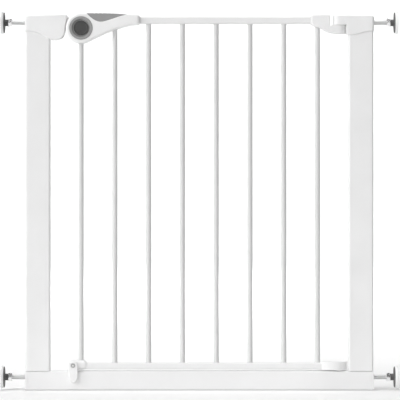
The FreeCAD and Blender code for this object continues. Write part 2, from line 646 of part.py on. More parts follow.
def hex_nut(side, z):
    """The hexagon that is turned to tighten the gate, fast on its rod."""
    corner = NUT_FLATS / 2 / math.cos(math.radians(30))
    points = [Vector(side * NUT_FROM, corner * math.cos(math.radians(60 * k)),
                     z + corner * math.sin(math.radians(60 * k))) for k in range(7)]
    prism = Part.Face(Part.makePolygon(points)).extrude(X * (side * (NUT_TO - NUT_FROM)))
    middle = side * (NUT_FROM + NUT_TO) / 2
    ball = Part.makeSphere(corner * 1.07, Vector(middle, 0, z))
    lens = prism.common(ball)
    return lens.cut(cross_rod(side, ROD_IN, WALL_HALF, z, ROD_R))


# --- all nodes -----------------------------------------------------------------------
def nodes():
    made = {"crossbar": crossbar(), "left_post": post("left"), "right_post": post("right"),
            "housing_screws": housing_screws(), "keeper_plate": keeper_plate(),
            "upper_hinge_pin": upper_hinge_pin(), "lower_hinge_pin": lower_hinge_pin(),
            "lower_hinge_washer": lower_hinge_washer(), "thread_bushes": thread_bushes(),
            "crossbar_end_caps": crossbar_end_caps(), "top_rail": top_rail(),
            "bottom_rail": rail(BOTTOM_RAIL), "spring_stop_pin": spring_stop_pin(),
            "handle_screws": handle_screws(), "dial_bezel": dial_bezel(), "push_button": push_button(),
            "button_spring": button_spring(), "thumb_slider": thumb_slider(),
            "slider_screw": slider_screw(), "latch_bolt": latch_bolt(), "latch_spring": latch_spring(),
            "upper_hinge_bracket": upper_hinge_bracket(), "upper_hinge_bush": upper_hinge_bush(),
            "lower_hinge_sleeve": lower_hinge_sleeve(), "lower_hinge_bush": lower_hinge_bush(),
            "latch_foot": latch_foot(), "stopper_pin": stopper_pin(), "stopper_flap": stopper_flap()}
    made.update(keeper_housing())
    made.update(hinge_housing())
    made.update(handle_shells())
    for number in range(1, BAR_COUNT + 1):
        made["bar_%d" % number] = bar(number)
    for place, side, z in spindle_places():
        made["wall_cup_" + place] = wall_cup(side, z)
        made["rubber_foot_" + place] = rubber_foot(side, z)
        made["spindle_rod_" + place] = spindle_rod(side, z)
        made["hex_nut_" + place] = hex_nut(side, z)
    return made


os.makedirs("parts", exist_ok=True)
for name, shape in nodes().items():
    shape.exportStep("parts/" + name + ".step")
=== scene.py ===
"""The looks of a pressure-fit safety gate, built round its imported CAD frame. Metres, +Z up."""

import json
import math

import bmesh
import bpy
import numpy as np
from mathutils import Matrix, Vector, geometry


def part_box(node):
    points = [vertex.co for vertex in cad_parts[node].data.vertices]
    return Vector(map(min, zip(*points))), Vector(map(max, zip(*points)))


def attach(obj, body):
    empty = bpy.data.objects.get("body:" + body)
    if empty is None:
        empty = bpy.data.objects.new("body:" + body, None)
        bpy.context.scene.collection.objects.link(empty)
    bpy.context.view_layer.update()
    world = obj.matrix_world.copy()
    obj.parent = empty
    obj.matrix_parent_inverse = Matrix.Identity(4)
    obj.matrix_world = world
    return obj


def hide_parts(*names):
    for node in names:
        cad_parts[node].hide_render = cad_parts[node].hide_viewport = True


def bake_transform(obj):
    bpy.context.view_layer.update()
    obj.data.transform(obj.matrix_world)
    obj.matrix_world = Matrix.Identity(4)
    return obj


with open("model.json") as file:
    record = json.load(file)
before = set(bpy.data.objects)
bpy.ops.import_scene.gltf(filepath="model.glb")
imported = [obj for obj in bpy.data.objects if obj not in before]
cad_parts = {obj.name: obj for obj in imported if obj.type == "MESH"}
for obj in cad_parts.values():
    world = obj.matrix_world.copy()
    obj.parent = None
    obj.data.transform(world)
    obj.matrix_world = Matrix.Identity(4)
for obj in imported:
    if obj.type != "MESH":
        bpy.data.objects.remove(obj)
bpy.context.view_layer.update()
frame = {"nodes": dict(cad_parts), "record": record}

MM = 0.001
OUTWARD, REARWARD, FORWARD, UP = (1, 0, 0), (0, 1, 0), (0, -1, 0), (0, 0, 1)
SPINDLES = [level + "_" + side for level in ("upper", "lower") for side in ("left", "right")]


# --- materials -----------------------------------------------------------------------
RAMP_START, RAMP_END = 0.3, 0.7      # the part of a noise's range that a colour ramp spreads over


class Shader:
    """A material's node tree, with short calls for the nodes used here."""

    def __init__(self, name):
        self.material = bpy.data.materials.new(name)
        self.material.use_nodes = True
        self.tree = self.material.node_tree
        self.surface = self.tree.nodes["Principled BSDF"]
        coords = self.tree.nodes.new("ShaderNodeTexCoord")
        self.place = coords.outputs["Object"]

    def set(self, **values):
        """Sets inputs of the surface, with _ for the spaces in their names."""
        for name, value in values.items():
            self.surface.inputs[name.replace("_", " ")].default_value = value
        return self

    def stretch(self, x, y, z):
        """The object's coordinates, each squeezed by its factor."""
        mapping = self.tree.nodes.new("ShaderNodeMapping")
        mapping.inputs["Scale"].default_value = (x, y, z)
        self.tree.links.new(self.place, mapping.inputs["Vector"])
        return mapping.outputs["Vector"]

    def noise(self, per_metre, detail, rough=0.5, vector=None):
        """A noise with this many lumps to a metre."""
        node = self.tree.nodes.new("ShaderNodeTexNoise")
        node.inputs["Scale"].default_value = per_metre
        node.inputs["Detail"].default_value = detail
        node.inputs["Roughness"].default_value = rough
        self.tree.links.new(vector or self.place, node.inputs["Vector"])
        return node.outputs["Fac"]

    def ramp(self, factor, low, high):
        """Turns a 0 to 1 factor into a colour between two colours."""
        node = self.tree.nodes.new("ShaderNodeValToRGB")
        ends = node.color_ramp.elements
        ends[0].position, ends[1].position = RAMP_START, RAMP_END
        ends[0].color, ends[1].color = (*low, 1), (*high, 1)
        self.tree.links.new(factor, node.inputs["Fac"])
        return node.outputs["Color"]

    def between(self, factor, low, high):
        """Turns a 0 to 1 factor into a number between two numbers."""
        node = self.tree.nodes.new("ShaderNodeMapRange")
        node.inputs["To Min"].default_value = low
        node.inputs["To Max"].default_value = high
        self.tree.links.new(factor, node.inputs["Value"])
        return node.outputs["Result"]

    def feed(self, name, output):
        """Links an output to an input of the surface."""
        self.tree.links.new(output, self.surface.inputs[name])
        return self

    def bump(self, height, depth_mm, strength):
        """Tilts the surface's normal by a height, for relief up to `depth_mm` deep."""
        node = self.tree.nodes.new("ShaderNodeBump")
        node.inputs["Strength"].default_value = strength
        node.inputs["Distance"].default_value = depth_mm * MM
        self.tree.links.new(height, node.inputs["Height"])
        self.tree.links.new(node.outputs["Normal"], self.surface.inputs["Normal"])
        return self


def grey(value):
    """A colour without hue."""
    return (value, value, value)


def powder_coat(name, low, high):
    """A thin sprayed coat with a faint orange peel."""
    s = Shader(name).set(Coat_Weight=0.15, Coat_Roughness=0.25)
    s.feed("Base Color", s.ramp(s.noise(9, 3), grey(low), grey(high)))
    s.feed("Roughness", s.between(s.noise(60, 3), 0.36, 0.46))
    return s.bump(s.noise(1400, 2), 0.02, 0.5).material


def moulded(name, low, high, rough, grain_mm, per_metre=900):
    """Moulded plastic: a spark-eroded grain, slight mottling and uneven gloss."""
    s = Shader(name)
    s.feed("Base Color", s.ramp(s.noise(25, 3), grey(low), grey(high)))
    s.feed("Roughness", s.between(s.noise(120, 3), rough - 0.05, rough + 0.05))
    return s.bump(s.noise(per_metre, 3, 0.6), grain_mm, 0.5).material


def rubber():
    """Matt rubber with a rough skin."""
    s = Shader("dark_rubber")
    s.feed("Base Color", s.ramp(s.noise(80, 4), grey(0.10), grey(0.13)))
    s.feed("Roughness", s.between(s.noise(300, 2), 0.6, 0.8))
    return s.bump(s.noise(1600, 3, 0.7), 0.05, 0.7).material


def plated(name, low, high, rough, brushed):
    """Plated steel with fine marks that run the way `brushed` squeezes them."""
    s = Shader(name).set(Metallic=1.0)
    marks = s.noise(400, 4, 0.6, s.stretch(*brushed))
    s.feed("Base Color", s.ramp(s.noise(30, 2), grey(low), grey(high)))
    s.feed("Roughness", s.between(marks, rough - 0.06, rough + 0.08))
    return s.bump(marks, 0.01, 0.4).material


MATERIALS = {
    "white_powder_coat": powder_coat("white_powder_coat", 0.80, 0.84),
    "white_plastic": moulded("white_plastic", 0.82, 0.86, 0.42, 0.012),
    "white_cup_plastic": moulded("white_cup_plastic", 0.80, 0.84, 0.38, 0.01),
    "mid_grey_plastic": moulded("mid_grey_plastic", 0.28, 0.32, 0.45, 0.03, 1300),
    "dark_grey_plastic": moulded("dark_grey_plastic", 0.045, 0.06, 0.38, 0.02, 1300),
    "dark_rubber": rubber(),
    "zinc_steel": plated("zinc_steel", 0.76, 0.82, 0.3, (0.2, 1, 1)),
    "chrome_plate": plated("chrome_plate", 0.86, 0.92, 0.26, (1, 1, 0.3)),
    "spring_steel": plated("spring_steel", 0.4, 0.48, 0.3, (1, 1, 1)),
    "natural_nylon": moulded("natural_nylon", 0.66, 0.72, 0.4, 0.01),
}

# The bars take a darker copy of the posts' white coat as painted shade, and the bolt's steel is painted
# dark as the shade of its pocket.
BAR_COAT_PAINTED_SHADE = powder_coat("bar_powder_coat", 0.66, 0.70)
SHADED_STEEL = plated("shaded_steel", 0.07, 0.10, 0.5, (0.2, 1, 1))


def dress_cad():
    """Gives every CAD node the material of its slot, but the latch bolt a steel painted dark as shade."""
    slots = {s["node"]: s["material_slot"] for s in frame["record"]["subparts"]}
    for name, node in frame["nodes"].items():
        if not node.material_slots:
            node.data.materials.append(None)
        for held in node.material_slots:
            # The latch bolt takes the steel painted dark as the shade of its pocket.
            held.material = SHADED_STEEL if name == "latch_bolt" else MATERIALS[slots[name]]


dress_cad()


# --- mesh tools, in millimetres ---------------------------------------------------------
def low_high(node):
    """A node's lowest and highest corners in millimetres."""
    low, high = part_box(node)
    return Vector(low) / MM, Vector(high) / MM


def place(piece, slot, body, *nodes, finish=None):
    """Gives a piece its finish and its body, and lets it stand for these CAD nodes."""
    piece.data.materials.append(finish or MATERIALS[slot])
    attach(piece, body)
    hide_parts(*nodes)


def make(name, mesh, sharp=30.0):
    """Turns a bmesh in millimetres into an object in metres, smooth but for its sharp edges."""
    bmesh.ops.remove_doubles(mesh, verts=mesh.verts, dist=0.0005)
    bmesh.ops.recalc_face_normals(mesh, faces=mesh.faces)
    bmesh.ops.scale(mesh, vec=(MM, MM, MM), verts=mesh.verts)
    data = bpy.data.meshes.new(name)
    mesh.to_mesh(data)
    mesh.free()
    made = bpy.data.objects.new(name, data)
    bpy.context.collection.objects.link(made)
    soften(made, sharp)
    return made


def soften(piece, sharp=30.0):
    """Shades every edge smooth that turns by less than `sharp` degrees."""
    for face in piece.data.polygons:
        face.use_smooth = True
    piece.data.set_sharp_from_angle(angle=math.radians(sharp))


def weight_normals(piece):
    """Keeps flat faces flat beside their rounded edges."""
    piece.modifiers.new("even_normals", "WEIGHTED_NORMAL").keep_sharp = True


def loft(mesh, rings, caps=True):
    """Joins rings of the same count of points, and closes both ends."""
    rows = [[mesh.verts.new(point) for point in ring] for ring in rings]
    for low, high in zip(rows, rows[1:]):
        for k in range(len(low)):
            n = (k + 1) % len(low)
            mesh.faces.new((low[k], low[n], high[n], high[k]))
    if caps:
        mesh.faces.new(rows[0])
        mesh.faces.new(rows[-1])


def lathe(mesh, profile, centre, axis, segments):
    """Turns a closed profile of (along, radius) points about an axis."""
    along = Vector(axis)
    side = Vector(UP) if abs(along.z) < 0.5 else Vector(OUTWARD)
    other = along.cross(side)
    rings = []
    for a, r in profile:
        ring = []
        for k in range(segments):
            turn = 2 * math.pi * k / segments
            out = side * math.cos(turn) + other * math.sin(turn)
            ring.append(Vector(centre) + along * a + out * r)
        rings.append(ring)
    if profile[0][1] > 0.01 and profile[-1][1] > 0.01:
        rings.append(rings[0])
    loft(mesh, rings, caps=False)


def rounded(corners, steps=5):
    """A closed polygon whose corners (u, v, radius) are rounded off."""
    points = []
    for k, (u, v, radius) in enumerate(corners):
        here = Vector((u, v))
        before = Vector(corners[k - 1][:2]) - here
        after = Vector(corners[(k + 1) % len(corners)][:2]) - here
        if radius <= 0:
            points.append((u, v))
            continue
        half = before.angle(after) / 2
        reach = min(radius / math.tan(half), before.length * 0.49, after.length * 0.49)
        start, end = here + before.normalized() * reach, here + after.normalized() * reach
        for step in range(steps + 1):
            t = step / steps
            points.append(tuple(start * (1 - t) ** 2 + here * 2 * t * (1 - t) + end * t ** 2))
    return points


def through(points, every):
    """A smooth curve through points, as a list of points without the first."""
    ways = [(b - a).normalized() for a, b in zip(points, points[2:])]
    first = (points[1] - points[0]).normalized()
    last = (points[-1] - points[-2]).normalized()
    ways = [2 * first.dot(ways[0]) * first - ways[0]] + ways + [2 * last.dot(ways[-1]) * last - ways[-1]]
    made = []
    for a, b, out, into in zip(points, points[1:], ways, ways[1:]):
        reach = (b - a).length / 3
        count = max(2, round(3 * reach / every))
        knots = geometry.interpolate_bezier(a, a + out * reach, b - into * reach, b, count + 1)
        made += [Vector(p[:2]) for p in knots[1:]]
    return made


def round_to(start, middle, end, every):
    """An arc from start through middle to end, as a list of points without the first."""
    centre = circle_centre(start, middle, end)
    radius = (start - centre).length
    first, mid, last = [math.atan2(p.y - centre.y, p.x - centre.x) for p in (start, middle, end)]
    sweep = (last - first) % (2 * math.pi)
    if (mid - first) % (2 * math.pi) > sweep:
        sweep -= 2 * math.pi
    count = max(4, round(abs(sweep) * radius / every))
    turns = [first + sweep * k / count for k in range(1, count + 1)]
    return [centre + radius * Vector((math.cos(turn), math.sin(turn))) for turn in turns]


def circle_centre(a, b, c):
    """The centre of the circle through three points."""
    turn = 2 * (a.x * (b.y - c.y) + b.x * (c.y - a.y) + c.x * (a.y - b.y))
    aa, bb, cc = a.length_squared, b.length_squared, c.length_squared
    return Vector(((aa * (b.y - c.y) + bb * (c.y - a.y) + cc * (a.y - b.y)) / turn,
                   (aa * (c.x - b.x) + bb * (a.x - c.x) + cc * (b.x - a.x)) / turn))


def outline(anchor, start, *steps, every=1.3):
    """A closed outline seen from the front, with a rounded rim that may change on the way.

    A step is ("line", point), ("arc", point on it, end), ("curve", points...) or
    ("rim", width, depth). Gives the points, and each side's rim.
    """
    anchor = Vector(anchor)
    points, rims, rim = [anchor + Vector(start)], [], (3.0, 2.4)
    for kind, *rest in steps:
        if kind == "rim":
            rim = tuple(rest)
            continue
        ends = [anchor + Vector(p) for p in rest]
        at = points[-1]
        if kind == "line":
            count = max(1, round((ends[0] - at).length / (3 * every)))
            new = [at.lerp(ends[0], k / count) for k in range(1, count + 1)]
        elif kind == "arc":
            new = round_to(at, ends[0], ends[1], every)
        else:
            new = through([at] + ends, every)
        points += new
        rims += [rim] * len(new)
    if (points[-1] - points[0]).length < 0.01:
        points.pop()
    else:
        rims.append(rim)
    return points, rims


def ring_loop(centre, radius, rim, count):
    """A round hole's edge."""
    points = [Vector(centre) + radius * Vector((math.cos(t), math.sin(t)))
              for t in (-2 * math.pi * k / count for k in range(count))]
    return points, [rim] * count


def rim_drop(points, loops):
    """For each point: how far the face falls back there, and how far the nearest rim is.

    That distance comes first in rim widths and then in millimetres.
    """
    p = np.array([tuple(q) for q in points])[:, None, :]
    starts = np.array([tuple(q) for loop, _ in loops for q in loop])
    ends = np.array([tuple(q) for loop, _ in loops for q in loop[1:] + loop[:1]])
    width, depth = np.array([rim for _, rims in loops for rim in rims]).T
    way = ends - starts
    t = np.clip(((p - starts) * way).sum(2) / (way ** 2).sum(1), 0, 1)
    away = np.linalg.norm(p - starts - t[..., None] * way, axis=2)
    near = np.clip(away / width, 0, 1)
    drop = depth * (1 - np.sqrt(1 - (1 - near) ** 2))
    return drop.max(1), (away / width).min(1), away.min(1)


RIM_STEPS = (0.03, 0.1, 0.2, 0.34, 0.5, 0.7, 1.0)     # rows of points over a rim, in rim widths
ROW_KEPT, NET_KEPT = 0.93, 1.15      # a row's or the net's points nearer to a rim are dropped
CROWN_REACH = 12.0                   # how far in from its edge a face goes on bulging


def inward(loop):
    """At each corner of a loop, the way into the face, longer where the loop turns."""
    ways = []
    area = sum(a.x * b.y - b.x * a.y for a, b in zip(loop, loop[1:] + loop[:1]))
    side = 1 if area > 0 else -1
    for before, here, after in zip(loop[-1:] + loop[:-1], loop, loop[1:] + loop[:1]):
        a, b = (here - before).normalized(), (after - here).normalized()
        normal = Vector((-a.y - b.y, a.x + b.x)) * side
        if normal.length < 0.3:
            normal = Vector((-a.y, a.x)) * side
        normal.normalize()
        lean = max(0.5, normal.dot(Vector((-a.y, a.x)) * side))
        ways.append(normal / lean)
    return ways


def inside(point, loop):
    """Whether a point lies inside a closed loop."""
    crossings = 0
    for a, b in zip(loop, loop[1:] + loop[:1]):
        if (a.y > point[1]) != (b.y > point[1]):
            crossings += point[0] < a.x + (point[1] - a.y) / (b.y - a.y) * (b.x - a.x)
    return crossings % 2 == 1


def face_points(loops, spacing):
    """Points inside a face: rows along every rim, and a net over its middle."""
    rows, wants = [], []
    for index, (loop, rims) in enumerate(loops):
        ways = inward(loop) if index == 0 else [-way for way in inward(loop)]
        for step in RIM_STEPS:
            for k, (point, way) in enumerate(zip(loop, ways)):
                width = max(rims[k][0], rims[k - 1][0])
                rows.append(point + way * width * step)
                wants.append(step * ROW_KEPT)
    outer = loops[0][0]
    xs, ys = [p.x for p in outer], [p.y for p in outer]
    rise = spacing * math.sqrt(3) / 2
    for row in range(int((max(ys) - min(ys)) / rise) + 1):
        for column in range(int((max(xs) - min(xs)) / spacing) + 1):
            x = min(xs) + (column + (row % 2) / 2) * spacing
            rows.append(Vector((x, min(ys) + (row + 0.5) * rise)))
            wants.append(NET_KEPT)
    near = rim_drop(rows, loops)[1]
    return [p for p, n, want in zip(rows, near, wants) if n >= want and inside(p, outer)
            and not any(inside(p, hole) for hole, _ in loops[1:])]


def plate(mesh, loops, half, side, back=0.0, seam=0.0, crown=0.25, spacing=5.0, cap=True):
    """A moulded slab with a rounded rim, its face at `half` from the gate's middle plane.

    `side` is -1 for a front face and 1 for a rear face. The wall runs back to `back`, where a
    seam draws it in a little.
    """
    border = [p for loop, _ in loops for p in loop]
    edges, first = [], 0
    for loop, _ in loops:
        edges += [(first + k, first + (k + 1) % len(loop)) for k in range(len(loop))]
        first += len(loop)
    coords = border + face_points(loops, spacing)
    found = geometry.delaunay_2d_cdt([Vector(p) for p in coords], edges, [], 1, 1e-5)
    flat, faces, origin = found[0], found[2], found[3]
    drop, _, away = rim_drop(flat, loops)
    bulge = crown * np.clip(away / CROWN_REACH, 0, 1) ** 0.8
    verts = [mesh.verts.new((p.x, side * (half - d + b), p.y)) for p, d, b in zip(flat, drop, bulge)]
    holes = [hole for hole, _ in loops[1:]]
    for face in faces:
        middle = sum((flat[k] for k in face), Vector((0, 0))) / len(face)
        if not any(inside(middle, hole) for hole in holes):
            mesh.faces.new([verts[k] for k in face])
    now = {}
    for new, olds in enumerate(origin):
        for old in olds:
            now[old] = new
    first, rims = 0, []
    for index, (loop, _) in enumerate(loops):
        ways = inward(loop) if index == 0 else [-way for way in inward(loop)]
        top = [verts[now[first + k]] for k in range(len(loop))]
        first += len(loop)
        levels = [(0.0, back)] if not seam else [(0.0, back + 1.6 * seam), (seam, back)]
        for inset, level in levels:
            low = [mesh.verts.new((p.x + way.x * inset, side * level, p.y + way.y * inset))
                   for p, way in zip(loop, ways)]
            for k in range(len(loop)):
                n = (k + 1) % len(loop)
                mesh.faces.new((top[k], top[n], low[n], low[k]))
            top = low
        rims += [mesh.edges.get((top[k], top[(k + 1) % len(top)])) for k in range(len(top))]
    if cap:
        bmesh.ops.triangle_fill(mesh, use_beauty=True, edges=rims)


def block(x, y, z):
    """A cutter between two values of x, y and z."""
    mesh = bmesh.new()
    corners = ((x[0], y[0]), (x[1], y[0]), (x[1], y[1]), (x[0], y[1]))
    loft(mesh, [[(a, b, c) for a, b in corners] for c in z])
    return mesh


def prism(points, y):
    """A cutter with this outline seen from the front."""
    mesh = bmesh.new()
    loft(mesh, [[(p[0], depth, p[1]) for p in points] for depth in y])
    return mesh


def drill(centre, axis, radius, start, end):
    """A round cutter."""
    mesh = bmesh.new()
    lathe(mesh, [(start, 0.0), (start, radius), (end, radius), (end, 0.0)], centre, axis, 64)
    return mesh


def carve(piece, cutters):
    """Cuts each bmesh out of a piece for good."""
    for number, mesh in enumerate(cutters):
        cutter = make("cutter_%d" % number, mesh)
        step = piece.modifiers.new("cut", "BOOLEAN")
        step.operation, step.solver, step.object = "DIFFERENCE", "EXACT", cutter
        bpy.context.view_layer.update()
        cut = piece.evaluated_get(bpy.context.evaluated_depsgraph_get())
        result = bpy.data.meshes.new_from_object(cut)
        piece.modifiers.clear()
        result.name = piece.name
        piece.data = result
        bpy.data.objects.remove(cutter)
    soften(piece)
    weight_normals(piece)


# --- where things are -------------------------------------------------------------------
DIAL_LOW, DIAL_HIGH = low_high("dial_bezel")
DIAL = (DIAL_LOW + DIAL_HIGH) / 2
DIAL_R = (DIAL_HIGH.x - DIAL_LOW.x) / 2
HANDLE_LOW, HANDLE_HIGH = low_high("handle_front_shell")
HANDLE_HALF = -HANDLE_LOW.y
RAIL_LOW, RAIL_HIGH = low_high("top_rail")
LOW_RAIL_HIGH = low_high("bottom_rail")[1]
BOLT_LOW, BOLT_HIGH = low_high("latch_bolt")
KEEPER_LOW, KEEPER_HIGH = low_high("keeper_housing_front")
PLATE_LOW, PLATE_HIGH = low_high("keeper_plate")
HINGE_LOW, HINGE_HIGH = low_high("hinge_housing_front")
KNUCKLE_LOW, KNUCKLE_HIGH = low_high("upper_hinge_bush")
HINGE = (KNUCKLE_LOW + KNUCKLE_HIGH) / 2
BUSH_R = (KNUCKLE_HIGH.x - KNUCKLE_LOW.x) / 2
BARS = ["bar_%d" % number for number in range(1, 9)]
SEAM = 0.25                          # how far two shells draw in where they meet
SHELL_WALL = 2.5


def between_corners(node):
    """The middle of a node's box."""
    low, high = low_high(node)
    return (low + high) / 2


def bar_hole(bar, radius, low, high):
    """A cutter for the hole that a bar stands in."""
    return drill((between_corners(bar).x, 0, 0), UP, radius, low, high)


# --- latch handle -------------------------------------------------------------------------
def handle_loop():
    """The disc round the dial and the tapering grip, open at the top over the thumb slider."""
    leave = math.radians(-67)
    r = DIAL.x - HANDLE_LOW.x
    end = HANDLE_HIGH.x - DIAL.x
    return outline((DIAL.x, DIAL.z), (0, r), ("rim", 5.0, 3.8), ("line", (10, 30)),
                   ("rim", 1.4, 1.1),
                   ("curve", (13.5, 26.3), (19, 21.3), (26, 16.1), (33, 13), (40, 12.2), (48.5, 13.7),
                    (60.3, 17.4), (76, 22.6), (88, 25.6), (95.5, 26.9)),
                   ("rim", 4.0, 3.4), ("curve", (103, 26.7), (110, 26.4)),
                   ("rim", 7.0, 6.0), ("arc", (end - 1.3, 25.1), (end, 21.8)), ("line", (end, 10.6)),
                   ("arc", (end - 1.1, 7.8), (end - 3.8, 6.5)),
                   ("rim", 5.0, 3.8),
                   ("curve", (96, 5.1), (76, 0.1), (56.3, -7.1), (36.7, -15.5),
                    (r * math.cos(leave), r * math.sin(leave))),
                   ("arc", (-r, 0), (0, r)))


def handle_cutters(side):
    """The hollows of one handle shell."""
    inner = HANDLE_HALF - SHELL_WALL
    past = (-1, inner) if side > 0 else (-inner, 1)
    disc_r = DIAL.x - HANDLE_LOW.x - SHELL_WALL
    grip = ((18, -20), (37, -12), (56.3, -3.7), (76, 3.5), (93, 8.5), (93, 24.5), (6, 24.5))
    cutters = [drill((DIAL.x, 0, DIAL.z), REARWARD, disc_r, *past),
               prism([(DIAL.x + dx, DIAL.z + dz) for dx, dz in grip], past),
               block((DIAL.x + 7.4, DIAL.x + 105.5), past, (RAIL_LOW.z + 0.4, HANDLE_HIGH.z + 5))]
    gap = 0.1
    rail = (-RAIL_HIGH.y - gap, RAIL_HIGH.y + gap)
    cutters.append(block((RAIL_LOW.x - gap, HANDLE_HIGH.x + 5), rail,
                         (RAIL_LOW.z - gap, RAIL_HIGH.z + gap)))
    slot = 0.4
    cutters.append(block((HANDLE_LOW.x - 5, RAIL_LOW.x + 5), (BOLT_LOW.y - slot, BOLT_HIGH.y + slot),
                         (BOLT_LOW.z - slot, BOLT_HIGH.z + slot)))
    return cutters + [bar_hole(bar, 5.5, DIAL.z - 45, RAIL_LOW.z) for bar in BARS[:2]]


def head_recesses(places, radius, head_y):
    """Cutters for the round recesses that screw heads sit in, open to the rear."""
    return [drill((at.x, 0, at.z), REARWARD, radius, head_y, 30.0) for at in places]


def handle_shells():
    """The front shell with the dial's hole, and the rear shell with the screws."""
    rear_holes = head_recesses(screw_places("handle_screws"), 3.0, 14.0)
    for side, name in ((-1, "front"), (1, "rear")):
        loops = [handle_loop()]
        if side < 0:
            loops.append(ring_loop((DIAL.x, DIAL.z), DIAL_R + 0.05, (0.9, 0.7), 96))
        mesh = bmesh.new()
        plate(mesh, loops, HANDLE_HALF, side, seam=SEAM)
        piece = make("handle_%s_cover" % name, mesh)
        carve(piece, handle_cutters(side) + (rear_holes if side > 0 else []))
        place(piece, "white_plastic", "leaf", "handle_%s_shell" % name)


def screw_places(node):
    """The middle of every screw in a node: its separate solids, told apart by their place."""
    mesh = bmesh.new()
    mesh.from_mesh(frame["nodes"][node].data)
    left, middles = set(mesh.verts), []
    while left:
        todo = [left.pop()]
        group = [todo[0]]
        while todo:
            for edge in todo.pop().link_edges:
                for vert in edge.verts:
                    if vert in left:
                        left.remove(vert)
                        todo.append(vert)
                        group.append(vert)
        middles.append(sum((v.co for v in group), Vector()) / len(group) / MM)
    mesh.free()
    merged = []
    for middle in middles:
        if not any(math.hypot(middle.x - m.x, middle.z - m.z) < 4 for m in merged):
            merged.append(middle)
    return merged


def dial_bezel():
    """The grey ring round the button: a rounded band, then a slope down to the button."""
    face = -DIAL_LOW.y
    profile = rounded([(face - 3.5, DIAL_R, 0), (face, DIAL_R, 0.9), (face, 18.4, 0.4),
                       (face - 0.5, 18.0, 0.2), (face - 2.6, 15.9, 0.5), (face - 2.6, 14.55, 0.2),
                       (face - 3.5, 14.5, 0)])
    mesh = bmesh.new()
    lathe(mesh, profile, (DIAL.x, 0, DIAL.z), FORWARD, 96)
    place(make("dial_ring", mesh, 40), "mid_grey_plastic", "leaf", "dial_bezel")


def push_button():
    """The dished release button, with a raised edge, and its stem."""
    low, high = low_high("push_button")
    face, radius = -low.y, (high.x - low.x) / 2
    dish = [(face - 0.75 - 0.9 * (1 - (r / 11.6) ** 2), r) for r in (11.4, 9, 7, 5, 3, 1.5)]
    profile = rounded([(face - 4.6, 0, 0), (face - 4.6, radius, 0), (face, radius, 1.1),
                       (face, 12.4, 0.5), (face - 0.75, 11.8, 0.25)] + [(a, r, 0) for a, r in dish]
                      + [(face - 1.65, 0, 0)])
    mesh = bmesh.new()
    lathe(mesh, profile, (DIAL.x, 0, DIAL.z), FORWARD, 96)
    stem, stem_r, stem_end = between_corners("button_spring"), 2.0, -4.0
    lathe(mesh, [(face - 5.0, 0), (face - 4.4, stem_r), (stem_end, stem_r), (stem_end, 0)],
          (stem.x, 0, stem.z), FORWARD, 24)
    place(make("release_button", mesh, 40), "dark_grey_plastic", "lock_button", "push_button")


# --- post housings --------------------------------------------------------------------------
def housing_cutters(side, low, high, room_from, room_to):
    """The room for the post and its spindle in one housing."""
    post_low, post_high = low_high("right_post" if side > 0 else "left_post")
    gap = 0.1
    inner = -low.y - SHELL_WALL
    spindle = between_corners("spindle_rod_upper_" + ("right" if side > 0 else "left"))
    outer = high.x if side > 0 else low.x
    return [block((post_low.x - gap, post_high.x + gap), (post_low.y - gap, post_high.y + gap),
                  (post_high.z - 60, post_high.z + gap)),
            block((room_from, room_to), (-inner, inner), (post_high.z - 24.5, post_high.z - 0.5)),
            drill((outer, 0, spindle.z), OUTWARD, 6.0, -8, 8)]


def housing_covers(name, loop, half, cutters, gate_side):
    """A housing's two shells. `cutters` makes their common hollows afresh for each."""
    for side, face in ((-1, "front"), (1, "rear")):
        mesh = bmesh.new()
        plate(mesh, [loop], half, side, seam=SEAM)
        piece = make("%s_%s_cover" % (name, face), mesh)
        cuts = cutters()
        if side > 0:
            screws = [at for at in screw_places("housing_screws") if at.x * gate_side > 0]
            cuts += head_recesses(screws, 3.4, 12.0)
        carve(piece, cuts)
        place(piece, "white_plastic", "frame", "%s_housing_%s" % (name, face))


def keeper_housing():
    """The left housing: caps the post and holds the pocket for the bolt."""
    loop = outline((KEEPER_LOW.x, KEEPER_HIGH.z), (0, -32.9), ("rim", 2.6, 2.2),
                   ("curve", (13.8, -33.6), (25.8, -36.7), (39.8, -43), (51.8, -49), (61, -50.8),
                    (71.3, -47.7), (77.2, -39.6), (79.2, -29.7)),
                   ("line", (83.5, -3.9)), ("arc", (82.8, -1.1), (80.2, 0)), ("line", (4.6, -2.3)),
                   ("rim", 5.5, 5.0), ("arc", (1.4, -3.5), (0, -6.5)), ("line", (0, -32.9)))

    def cutters():
        inner = -KEEPER_LOW.y - SHELL_WALL
        plate_room = block((KEEPER_LOW.x + 52.8, PLATE_HIGH.x), (-inner, inner),
                           (PLATE_LOW.z - 12.5, PLATE_HIGH.z + 0.3))
        bolt_room = block((PLATE_LOW.x + 0.5, KEEPER_HIGH.x + 4), (BOLT_LOW.y - 1, BOLT_HIGH.y + 1),
                          (BOLT_LOW.z - 1.4, BOLT_HIGH.z + 1.5))
        post_room = housing_cutters(-1, KEEPER_LOW, KEEPER_HIGH, KEEPER_LOW.x + 2.8, PLATE_LOW.x)
        return post_room + [plate_room, bolt_room]

    housing_covers("keeper", loop, -KEEPER_LOW.y, cutters, -1)


